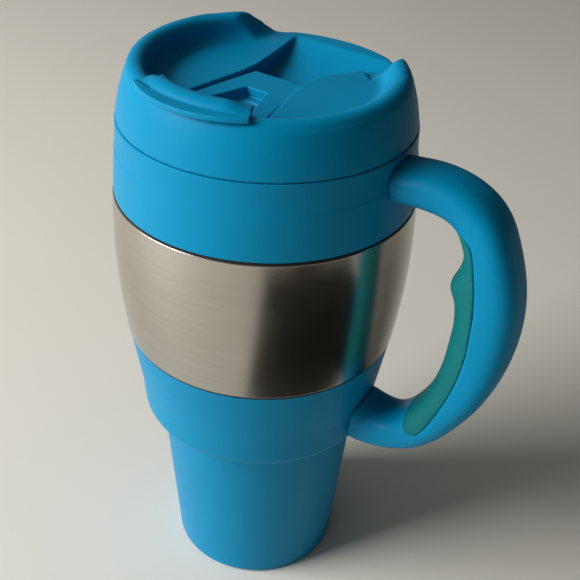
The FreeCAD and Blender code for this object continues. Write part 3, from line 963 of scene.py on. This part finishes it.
@dataclass
class Studio:
    """Floor, soft light from the drinking side's left, and the camera.

    Lengths are in metres.  The window's place and the flag's (right, near) corners are given as
    the camera looks, laid level.  The room's turn says how far left its light starts to rise and
    where it has risen, as cosines.
    """

    eye: tuple[float, float, float] = (0.1654, -0.2753, 0.3597)
    ahead: tuple[float, float, float] = (-0.3965, 0.7163, -0.5743)
    roll: float = 2.95
    lens: float = 58.97
    sensor: float = 36.0
    clip: tuple[float, float] = (0.01, 20.0)
    floor_half: float = 3.0
    aim: tuple[float, float, float] = (0, 0, 0.12)
    window: float = 0.9
    window_left: float = 1.35
    window_near: float = 0.38
    window_up: float = 0.78
    window_watts: float = 33.0
    daylight: Colour = (1.0, 0.985, 0.955)
    room: Colour = (0.95, 0.93, 0.87)
    room_turn: tuple[float, float] = (-0.5, 0.9)
    bright_side: float = 0.34
    dark_side: float = 0.035
    flag_edge: tuple[tuple[float, float], ...] = (
        (-0.02, 0.125), (0.02, 0.42), (0.24, 0.40), (0.36, 0.20), (0.30, 0.10), (0.15, 0.045))
    flag_lift: float = 0.002
    flag_weave: float = 400.0
    flag_tones: tuple[Colour, Colour] = ((0.012, 0.011, 0.009), (0.02, 0.018, 0.015))
    floor_clouds: float = 3.0
    floor_gloss: float = 0.6
    floor_tones: tuple[Colour, Colour] = ((0.81, 0.785, 0.725), (0.84, 0.815, 0.755))

    def camera(self) -> None:
        """Makes the camera and makes it the scene's own."""
        data = bpy.data.cameras.new("camera")
        data.sensor_width, data.lens = self.sensor, self.lens
        data.clip_start, data.clip_end = self.clip
        obj = bpy.data.objects.new("camera", data)
        bpy.context.scene.collection.objects.link(obj)
        ahead = Vector(self.ahead).normalized()
        right = ahead.cross(Vector((0, 0, 1))).normalized()
        up = right.cross(ahead)
        turn = math.radians(self.roll)
        side = math.cos(turn) * right + math.sin(turn) * up
        top = -math.sin(turn) * right + math.cos(turn) * up
        pose = Matrix((side, top, -ahead)).transposed().to_4x4()
        pose.translation = Vector(self.eye)
        obj.matrix_world = pose
        bpy.context.scene.camera = obj

    def lamp(self, name: str, place: Vector, aim: Vector, size: float, watts: float,
             colour: Colour) -> None:
        """Adds one square soft light.

        Args:
            name: Name of the light.
            place: Where it stands.
            aim: What it points at.
            size: Side of the square.
            watts: Its power.
            colour: Its colour.
        """
        data = bpy.data.lights.new(name, "AREA")
        data.shape, data.size, data.energy, data.color = "SQUARE", size, watts, colour
        obj = bpy.data.objects.new(name, data)
        bpy.context.scene.collection.objects.link(obj)
        obj.matrix_world = Matrix.Translation(place) @ (aim - place).to_track_quat(
            "-Z", "Y").to_matrix().to_4x4()

    def level_axes(self) -> tuple[Vector, Vector]:
        """The camera's forward and right directions, laid level."""
        ahead = Vector((self.ahead[0], self.ahead[1], 0)).normalized()
        return ahead, ahead.cross(Vector((0, 0, 1)))

    def lights(self) -> None:
        """Adds a window at the camera's left and a room that is darker on the right."""
        aim = Vector(self.aim)
        ahead, right = self.level_axes()
        place = (aim - right * self.window_left - ahead * self.window_near
                 + Vector((0, 0, self.window_up)))
        self.lamp("window", place, aim, self.window, self.window_watts, self.daylight)
        world = bpy.data.worlds.new("room")
        world.use_nodes = True
        tree = world.node_tree
        shade = tree.nodes["Background"]
        shade.inputs["Color"].default_value = (*self.room, 1.0)
        where = tree.nodes.new("ShaderNodeTexCoord")
        dot = tree.nodes.new("ShaderNodeVectorMath")
        dot.operation = "DOT_PRODUCT"
        dot.inputs[1].default_value = -right
        tree.links.new(where.outputs["Generated"], dot.inputs[0])
        ramp = tree.nodes.new("ShaderNodeMapRange")
        ramp.interpolation_type = "SMOOTHSTEP"
        limits = (*self.room_turn, self.dark_side, self.bright_side)
        for key, number in zip(("From Min", "From Max", "To Min", "To Max"), limits):
            ramp.inputs[key].default_value = number
        tree.links.new(dot.outputs["Value"], ramp.inputs["Value"])
        tree.links.new(ramp.outputs["Result"], shade.inputs["Strength"])
        bpy.context.scene.world = world

    def flag(self) -> None:
        """Lays a dark card before the mug that only its reflections show."""
        ahead, right = self.level_axes()
        mesh = bpy.data.meshes.new("flag")
        up = Vector((0, 0, self.flag_lift))
        corners = [right * r - ahead * n + up for r, n in self.flag_edge]
        mesh.from_pydata(corners, [], [tuple(range(len(corners)))])
        obj = mesh_object("flag", mesh)
        g = Graph("flag_cloth")
        g.feed("Base Color", g.mix(g.noise(self.flag_weave), *self.flag_tones))
        g.set(Roughness=1.0, Specular_IOR_Level=0.0)
        mesh.materials.append(g.material)
        obj.visible_camera = obj.visible_diffuse = obj.visible_shadow = False
        obj.visible_transmission = obj.visible_volume_scatter = False

    def floor(self) -> None:
        """Adds a plain pale floor."""
        h = self.floor_half
        mesh = bpy.data.meshes.new("floor")
        mesh.from_pydata([(-h, -h, 0), (h, -h, 0), (h, h, 0), (-h, h, 0)], [], [(0, 1, 2, 3)])
        obj = mesh_object("floor", mesh)
        g = Graph("floor")
        tone = g.spread(g.noise(self.floor_clouds), 0.0, 1.0)
        g.feed("Base Color", g.mix(tone, *self.floor_tones))
        g.set(Roughness=self.floor_gloss)
        mesh.materials.append(g.material)

    def build(self) -> None:
        """Sets up everything round the mug."""
        self.camera()
        self.lights()
        self.floor()
        self.flag()
        bpy.context.scene.view_settings.view_transform = "Standard"


def main() -> None:
    """Builds the mug and its studio."""
    paint = Paintbox()
    spinner = SpinTree()
    pieces = MugBody(spinner, paint).build()
    pieces += Handle(paint).build()
    pieces += Lid(paint).build()
    for piece in pieces:
        log.info("%s made, %d faces", piece.name, len(piece.data.polygons))
    Studio().build()


if __name__ == "__main__":
    main()
